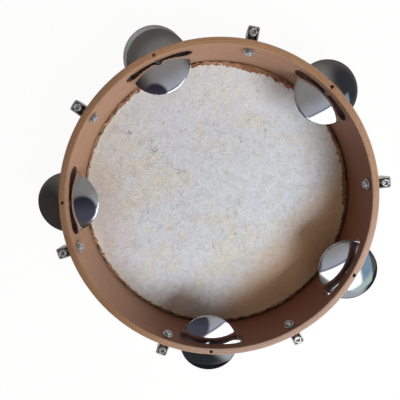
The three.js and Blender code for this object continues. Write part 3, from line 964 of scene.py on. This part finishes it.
class PANDEIRO_OT_tension_hooks(bpy.types.Operator):
    """Model the hooked, threaded rods that pull the tension hoop up"""

    bl_idname = "pandeiro.tension_hooks"
    bl_label = "Tension hooks"

    BEND = 0.0033  # radius of the hook's bend
    END_ROUND = 0.0003
    THREADED = 0.0205  # from the rod's end down to its first turn of thread
    TURNS = 40
    RIDGE = ((-0.00015, -0.0002), (0.00014, 0), (-0.00015, 0.0002))  # the thread's section

    def execute(self, context):
        low, high = facing_box("tension_hook_1")
        radius = (high.y - low.y) / 2
        line = upright("tuning_nut_1")[0]
        turn = low.z + radius + self.BEND
        hook = begin(
            "hook_pattern", bpy.ops.mesh.primitive_circle_add,
            vertices=20, radius=radius, location=(line, 0, high.z), fill_type="NGON",
        )
        edit(hook)
        pick(hook, "FACE", everything)
        extrude(0, 0, turn - high.z)
        bpy.ops.mesh.spin(steps=10, angle=-math.pi / 2, center=(line - self.BEND, 0, turn), axis=(0, 1, 0))
        extrude(low.x - line + self.BEND, 0, 0)
        close(hook)
        ease(hook, self.END_ROUND, segments=3, angle=60)
        thread = self.thread(radius, context.scene.pandeiro_sizes.thread_pitch)
        join(hook, copied(thread, "thread_on_rod", Matrix.Translation((line, 0, high.z - self.THREADED))))
        discard(thread)
        shade(hook, 40)
        steel = metal_finish("hook_zinc")
        spread(hook, "threaded_hook", LUGS, "tensioner", "hook_steel", steel, "tension_hook")
        return {"FINISHED"}

    def thread(self, radius, pitch):
        """One ridge wound round the Z axis, closed at both ends."""
        ridge = begin(
            "thread", bpy.ops.mesh.primitive_circle_add, vertices=len(self.RIDGE), radius=pitch * 0.5,
            rotation=(math.pi / 2, 0, -math.pi / 2), fill_type="NOTHING",
        )
        edit(ridge)
        mesh = bmesh.from_edit_mesh(ridge.data)
        for corner, (out, up) in zip(mesh.verts, self.RIDGE):
            corner.co = (radius + out, 0, up)
        bmesh.update_edit_mesh(ridge.data)
        let_go()
        modify(
            ridge, "SCREW", axis="Z", screw_offset=pitch, iterations=self.TURNS, angle=2 * math.pi,
            steps=12, render_steps=12, use_smooth_shade=False,
        )
        edit(ridge)
        bpy.ops.mesh.fill_holes(sides=len(self.RIDGE))
        close(ridge)
        return ridge


class PANDEIRO_OT_lug_brackets(bpy.types.Operator):
    """Model the open-topped boxes that hold the nuts"""

    bl_idname = "pandeiro.lug_brackets"
    bl_label = "Lug brackets"

    SHEET = 0.0011
    CORNER = 0.0015  # rounding of the upright corners

    def execute(self, context):
        low, high = facing_box("lug_bracket_1")
        box = block("bracket_pattern", low, high)
        edit(box)
        pick(box, "EDGE", lambda place, item: abs((item.verts[0].co - item.verts[1].co).z) > self.SHEET)
        bpy.ops.mesh.bevel(offset=self.CORNER, segments=5, affect="EDGES")
        pick(box, "FACE", lambda place, item: item.normal.z > 0.9)
        bpy.ops.mesh.inset(thickness=self.SHEET, depth=0)
        extrude(0, 0, low.z + self.SHEET - high.z)
        let_go()
        line = upright("tuning_nut_1")[0]
        height = middle("lug_screw_1").z
        start, end = low.x - MARGIN, low.x + 1.5 * self.SHEET
        cut(
            box,
            rod("rod_hole", ROD_HOLE, (line, 0, low.z - MARGIN), (line, 0, low.z + 2 * self.SHEET)),
            rod("screw_hole", SCREW_HOLE, (start, 0, height), (end, 0, height)),
        )
        ease(box, context.scene.pandeiro_sizes.metal_round, angle=50)
        plate = metal_finish("bracket_plate")
        spread(box, "plated_bracket", LUGS, "drum", "bracket_plate", plate, "lug_bracket")
        return {"FINISHED"}


class PANDEIRO_OT_tuning_nuts(bpy.types.Operator):
    """Model the long hexagon nuts"""

    bl_idname = "pandeiro.tuning_nuts"
    bl_label = "Tuning nuts"

    HALF_FLATS = 0.00275  # from a nut's axis to its flats
    CHAMFER = 0.0005  # height of the cones that break its corners
    CONE_IN = 0.00055  # how far the cones run in past the corners at the ends
    CONE_OUT = 0.0003  # how far they run out past them
    CONE_BORE = 0.0005

    def execute(self, context):
        chrome = metal_finish("nut_chrome")
        low, high = facing_box("tuning_nut_1")
        corner = self.HALF_FLATS / math.cos(math.pi / 6)
        nut = rod("nut_pattern", corner, (0, 0, low.z), (0, 0, high.z), 6)
        lower = [
            (self.CONE_BORE, low.z), (corner - self.CONE_IN, low.z),
            (corner + self.CONE_OUT, low.z + self.CHAMFER),
        ]
        upper = [
            (corner + self.CONE_OUT, high.z - self.CHAMFER),
            (corner - self.CONE_IN, high.z), (self.CONE_BORE, high.z),
        ]
        cut(nut, turned("cone", lower + upper, 48, ring=True), operation="INTERSECT")
        cut(nut, rod("bore", ROD_HOLE, (0, 0, low.z - MARGIN), (0, 0, high.z + MARGIN)))
        ease(nut, context.scene.pandeiro_sizes.metal_round * 0.7, angle=25)
        out = Matrix.Translation(((low.x + high.x) / 2, 0, 0))
        for number, turn in LUGS.items():
            twin = copied(nut, f"hexagon_nut_{number}", turn @ out)
            hand_over(twin, f"nut_{number}", "nut_chrome", chrome, f"tuning_nut_{number}")
        discard(nut)
        return {"FINISHED"}


class PANDEIRO_OT_lug_screws(bpy.types.Operator):
    """Model the pan-head screws on the inner wall and their washers"""

    bl_idname = "pandeiro.lug_screws"
    bl_label = "Lug screws"

    HEAD = 0.0021  # height of a screw's head
    HEAD_ROUND = 0.00012
    SHANK = 0.00175  # radius of its shank
    SHANK_ROUND = 0.0003
    # the cross recess in the head
    RECESS_DEPTH = 0.0011
    RECESS_REACH = 0.0018
    RECESS_HALF = 0.00045
    SLANT = 33  # degrees from one screw's recess to the next one's

    def execute(self, context):
        zinc = metal_finish("screw_zinc")
        dull = metal_finish("washer_zinc")
        screw = self.screw()
        washer = self.washer(context.scene.pandeiro_sizes.metal_round)
        height = Matrix.Translation((0, 0, middle("lug_screw_1").z))
        for number, turn in LUGS.items():
            slant = Matrix.Rotation(math.radians(self.SLANT * number), 4, "X")
            twin = copied(screw, f"pan_head_screw_{number}", turn @ height @ slant)
            hand_over(twin, "drum", "screw_steel", zinc, f"lug_screw_{number}")
            ring = copied(washer, f"flat_washer_{number}", turn @ height)
            hand_over(ring, "drum", "washer_steel", dull, f"lug_washer_{number}")
        discard(screw)
        discard(washer)
        return {"FINISHED"}

    def screw(self):
        """A screw along +X at height 0, with its head at the inner end."""
        low, high = facing_box("lug_screw_1")
        crown = rod("screw_pattern", (high.y - low.y) / 2, (low.x, 0, 0), (low.x + self.HEAD, 0, 0), 40)
        edit(crown)
        pick(crown, "EDGE", lambda place, item: all(abs(end.co.x - low.x) < WELD for end in item.verts))
        bpy.ops.mesh.bevel(offset=self.HEAD * 0.62, segments=6, affect="EDGES")
        let_go()
        for turn in (0, math.pi / 2):
            bar = block(
                "recess",
                (low.x - MARGIN, -self.RECESS_REACH, -self.RECESS_HALF),
                (low.x + self.RECESS_DEPTH, self.RECESS_REACH, self.RECESS_HALF),
            )
            edit(bar)
            pick(bar, "FACE", lambda place, item: item.normal.x > 0.9)
            bpy.ops.transform.resize(value=(1, 0.55, 0.75), center_override=(low.x, 0, 0))
            let_go()
            cut(crown, copied(bar, "recess_tool", Matrix.Rotation(turn, 4, "X")))
            discard(bar)
        ease(crown, self.HEAD_ROUND)
        shank = rod("shank", self.SHANK, (low.x + self.HEAD / 2, 0, 0), (high.x, 0, 0))
        ease(shank, self.SHANK_ROUND)
        join(crown, shank)
        return crown

    def washer(self, rounding):
        low, high = facing_box("lug_washer_1")
        disc = rod("washer_pattern", (high.y - low.y) / 2, (low.x, 0, 0), (high.x, 0, 0), 48)
        cut(disc, rod("washer_hole", SCREW_HOLE, (low.x - MARGIN, 0, 0), (high.x + MARGIN, 0, 0)))
        ease(disc, rounding)
        return disc


class PANDEIRO_OT_jingle_pins(bpy.types.Operator):
    """Model the nails that the jingles ride on"""

    bl_idname = "pandeiro.jingle_pins"
    bl_label = "Jingle pins"

    POINT = 0.0028  # length of a nail's point
    BLUNT = 0.3  # share of its thickness that is left at the tip
    TIP_ROUND = 0.0002

    def execute(self, context):
        low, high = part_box("jingle_pin_1")
        line, radius = upright("jingle_pin_1")
        pin = rod("pin_pattern", radius, (line, 0, low.z), (line, 0, high.z))

        def shoulder(place, item):
            return place.z < low.z + WELD and math.hypot(place.x - line, place.y) > radius * 0.9

        edit(pin)
        pick(pin, "FACE", lambda place, item: item.normal.z < -0.9)
        extrude(0, 0, 0)
        bpy.ops.transform.resize(value=(self.BLUNT, self.BLUNT, 1), center_override=(line, 0, low.z))
        pick(pin, "VERT", shoulder)
        bpy.ops.transform.translate(value=(0, 0, self.POINT))
        let_go()
        ease(pin, self.TIP_ROUND)
        spread(pin, "nail", SETS, "drum", "pin_steel", metal_finish("pin_wire"), "jingle_pin")
        return {"FINISHED"}


class PANDEIRO_OT_jingle_cups(bpy.types.Operator):
    """Model the dished cups of the jingles and the flat discs between them"""

    bl_idname = "pandeiro.jingle_cups"
    bl_label = "Jingle cups"

    SHEET = 0.0006
    RISE = 0.0045  # from a cup's rim to the top of its dome
    RINGS = 22  # steps of the dome from its hole to its rim
    RIM_ROUND = 0.00018
    DAMPER_HOLE = 0.0015  # radius of the hole in the disc between two cups
    DAMPER_ROUND = 0.00022

    def execute(self, context):
        chrome = metal_finish("cup_chrome")
        steel = metal_finish("damper_sheet")
        cup = self.cup()
        over = Matrix.Rotation(math.pi, 4, "X")
        for number in SETS:
            for side in ("back", "head"):
                node = f"jingle_cup_{side}_{number}"
                low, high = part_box(node)
                centre = middle(node)
                rim = low.z if side == "back" else high.z
                place = Matrix.Translation((centre.x, centre.y, rim))
                twin = copied(cup, f"chrome_cup_{side}_{number}", place if side == "back" else place @ over)
                hand_over(twin, f"cup_{side}_{number}", "cup_chrome", chrome, node)
            self.damper(number, steel)
        discard(cup)
        return {"FINISHED"}

    def cup(self):
        """A dished cup with its rim on z = 0 and its dome up."""
        low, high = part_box("jingle_cup_back_1")
        radius = (high.x - low.x) / 2
        centre = middle("jingle_cup_back_1").to_2d()
        hole = min((point.to_2d() - centre).length for point in points_of("jingle_cup_back_1"))
        dome = (radius ** 2 + self.RISE ** 2) / (2 * self.RISE)
        reach = [hole + (radius - hole) * ring / self.RINGS for ring in range(self.RINGS + 1)]
        profile = [(r, self.RISE - dome + math.sqrt(dome ** 2 - r ** 2)) for r in reach]
        cup = turned("cup_pattern", profile, 120)
        edit(cup)
        mesh = bmesh.from_edit_mesh(cup.data)
        if sum(face.normal.z for face in mesh.faces) < 0:
            bpy.ops.mesh.flip_normals()
        let_go()
        modify(cup, "SOLIDIFY", thickness=self.SHEET, offset=-1, use_even_offset=True)
        ease(cup, self.RIM_ROUND, segments=3, angle=50)
        shade(cup, 60)
        return cup

    def damper(self, number, finish):
        node = f"jingle_damper_{number}"
        low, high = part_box(node)
        centre = middle(node)
        disc = plain_ring("damper_pattern", self.DAMPER_HOLE, (high.x - low.x) / 2, low.z, high.z, 96)
        ease(disc, self.DAMPER_ROUND)
        twin = copied(disc, f"flat_damper_{number}", Matrix.Translation((centre.x, centre.y, 0)))
        discard(disc)
        hand_over(twin, f"damper_{number}", "damper_steel", finish, node)


class PANDEIRO_OT_stage(bpy.types.Operator):
    """Set the floor, the lights, the cards that the chrome mirrors and the camera"""

    bl_idname = "pandeiro.stage"
    bl_label = "Stage"

    GLOWING = {"base_color": (0, 0, 0), "roughness": 1.0, "emission_strength": 1.0}

    def execute(self, context):
        scene = context.scene
        scene.view_settings.view_transform = "Standard"
        self.floor(scene)
        self.world(scene)
        self.ceiling()
        self.shade_card()
        self.lamp(
            "window", direction=(0.508, -0.474, 0.719), distance=0.9, size=(0.62, 0.42),
            power=9.9, colour=(0.93, 0.968, 1.0),
        )
        self.camera(scene)
        return {"FINISHED"}

    def floor(self, scene):
        """A pale floor that looks white wherever it is seen or mirrored."""
        floor = begin("floor", bpy.ops.mesh.primitive_plane_add, size=30)
        finish = Finish("studio_floor", base_color=scene.pandeiro_colours.floor, roughness=0.9)
        seen = finish.light_path("Camera") + finish.light_path("Glossy") + finish.light_path("Transmission")
        glow = finish.node("ShaderNodeEmission", {}, {"Color": (1, 1, 1), "Strength": 1.0})
        matte = Wire(finish, finish.shader.outputs[0])
        mix = finish.node("ShaderNodeMixShader", {}, {0: seen * 0.95, 1: matte, 2: glow})
        finish.link(finish.nodes["Material Output"].inputs["Surface"], mix)
        floor.data.materials.append(finish.material)

    def world(self, scene):
        """White to the camera, a warm light from above, and dark walls for what mirrors them."""
        world = bpy.data.worlds.new("studio")
        world.use_nodes = True
        scene.world = world
        sky = Tree(world.node_tree, "Generated")
        rise = sky.axis("Z")
        walls = sky.mixed(sky.ramp(sky.axis("Y"), -0.35, 0.35), (0.012, 0.012, 0.014), (0.09, 0.083, 0.075))
        mirrored = sky.mixed(sky.ramp(rise, 0.2, 0.05), walls, (1, 1, 1))
        fill = sky.mixed(sky.ramp(rise, 0.55, 0.95), (0.02, 0.014, 0.01), (0.62, 0.46, 0.33))
        light = sky.layered(
            mirrored,
            (sky.light_path("Diffuse"), fill),
            (sky.light_path("Camera"), (1, 1, 1)),
        )
        sky.link(sky.nodes["Background"].inputs["Color"], light)

    def ceiling(self):
        """A level card with a bright window in it and dark corners."""
        paint = Finish("ceiling_card", **self.GLOWING)
        flat = paint.stretched((1, 1, 0))
        patches = [
            (paint.ramp(paint.distance(flat, centre), wide, core), tone)
            for centre, wide, core, tone in (
                ((0.1, 0.15, 0), 0.75, 0.15, (0.232, 0.221, 0.209)),
                ((0.75, 0.35, 0), 0.55, 0.25, (0.02, 0.02, 0.024)),
                ((-0.85, -0.3, 0), 0.75, 0.4, (0.02, 0.015, 0.012)),
                ((-0.2, -1.0, 0), 0.6, 0.3, (0.008, 0.01, 0.014)),
            )
        ]
        across = paint.towards(0.5, -0.866)
        along = paint.towards(0.866, 0.5)
        beside = paint.ramp(along - across * 0.45, -0.37, -0.29) * paint.ramp(along, 0.77, 0.71)
        glow = paint.ramp(across, -0.1, 0.17) * paint.band(along, -0.2, 0.5, 0.12)
        glass = paint.layered(
            (1.6, 1.65, 1.7),
            (paint.ramp(along, 0.3, 0.42), (0.2, 0.3, 0.4)),
            (paint.ramp(across, 0.75, 1.0), (0.4, 0.52, 0.5)),
        )
        colour = paint.layered(
            (0.078, 0.067, 0.057),
            *patches,
            (glow, (0.36, 0.38, 0.42)),
            (paint.band(across, 0.175, 0.215, 0.012) * beside, (0.15, 0.175, 0.23)),
            (paint.band(across, 0.21, 1.3, 0.02) * beside, glass),
        )
        paint.feed({"Emission Color": colour})
        self.card("ceiling_card", (0, 0, 0.6), 2.6, paint)

    def shade_card(self):
        """A small dark oval with a soft edge beside the camera, which darkens the nearest cups."""
        paint = Finish("shade_card", **self.GLOWING)
        away = paint.distance(paint.stretched((9, 8, 0)), (-0.94, -0.84, 0))
        fall = paint.ramp(paint.axis("Y"), 0.0, -0.15)
        paint.feed({
            "Emission Color": paint.mixed(fall, (0.02, 0.02, 0.03), (0.06, 0.058, 0.085)),
            "Alpha": paint.ramp(away, 1.12, 0.84),
        })
        self.card("shade_card", (-0.11, -0.08, 0.32), 0.4, paint)

    def card(self, name, place, size, paint):
        """A level square card that shows only in what mirrors it."""
        card = begin(name, bpy.ops.mesh.primitive_plane_add, size=1)
        edit(card)
        bpy.ops.transform.resize(value=(size, size, 1), center_override=(0, 0, 0))
        bpy.ops.transform.translate(value=place)
        let_go()
        card.data.materials.append(paint.material)
        for ray in ("camera", "diffuse", "transmission", "volume_scatter", "shadow"):
            setattr(card, f"visible_{ray}", False)

    def lamp(self, name, direction, distance, size, power, colour):
        """A soft oblong lamp that faces the middle of the drum."""
        lamp = bpy.data.lights.new(name, "AREA")
        lamp.shape = "RECTANGLE"
        lamp.size, lamp.size_y = size
        lamp.energy = power
        lamp.color = colour
        holder = bpy.data.objects.new(name, lamp)
        bpy.context.scene.collection.objects.link(holder)
        away = Vector(direction).normalized()
        holder.location = away * distance
        holder.rotation_euler = away.to_track_quat("Z", "Y").to_euler()
        holder.visible_glossy = False

    def camera(self, scene):
        camera = bpy.data.cameras.new("camera")
        camera.lens = 31.09
        camera.sensor_width = 36
        camera.clip_start = 0.01
        holder = bpy.data.objects.new("camera", camera)
        scene.collection.objects.link(holder)
        holder.location = (-0.0151, 0.04073, 0.32037)
        holder.rotation_euler = (math.radians(-7.656), 0, 0)
        scene.camera = holder


class PANDEIRO_PT_pieces(bpy.types.Panel):
    """Lists the pieces of the drum"""

    bl_label = "Pandeiro"
    bl_idname = "PANDEIRO_PT_pieces"
    bl_space_type = "VIEW_3D"
    bl_region_type = "UI"
    bl_category = "Pandeiro"

    def draw(self, context):
        for operator in OPERATORS:
            self.layout.operator(operator.bl_idname)
        for group in (context.scene.pandeiro_sizes, context.scene.pandeiro_colours):
            column = self.layout.column()
            for key in group.__annotations__:
                column.prop(group, key)


OPERATORS = (
    PANDEIRO_OT_stage,
    PANDEIRO_OT_wooden_hoop,
    PANDEIRO_OT_goatskin_head,
    PANDEIRO_OT_torn_flesh,
    PANDEIRO_OT_stretching_hoops,
    PANDEIRO_OT_tension_hooks,
    PANDEIRO_OT_lug_brackets,
    PANDEIRO_OT_tuning_nuts,
    PANDEIRO_OT_lug_screws,
    PANDEIRO_OT_jingle_pins,
    PANDEIRO_OT_jingle_cups,
)
CLASSES = (PandeiroSizes, PandeiroColours, *OPERATORS, PANDEIRO_PT_pieces)


def register():
    for item in CLASSES:
        bpy.utils.register_class(item)
    bpy.types.Scene.pandeiro_sizes = bpy.props.PointerProperty(type=PandeiroSizes)
    bpy.types.Scene.pandeiro_colours = bpy.props.PointerProperty(type=PandeiroColours)


def unregister():
    del bpy.types.Scene.pandeiro_colours
    del bpy.types.Scene.pandeiro_sizes
    for item in reversed(CLASSES):
        bpy.utils.unregister_class(item)


def main():
    register()
    bpy.ops.pandeiro.stage()
    bpy.ops.pandeiro.wooden_hoop()
    bpy.ops.pandeiro.goatskin_head()
    bpy.ops.pandeiro.torn_flesh()
    bpy.ops.pandeiro.stretching_hoops()
    bpy.ops.pandeiro.tension_hooks()
    bpy.ops.pandeiro.lug_brackets()
    bpy.ops.pandeiro.tuning_nuts()
    bpy.ops.pandeiro.lug_screws()
    bpy.ops.pandeiro.jingle_pins()
    bpy.ops.pandeiro.jingle_cups()
    let_go()


if __name__ == "__main__":
    main()
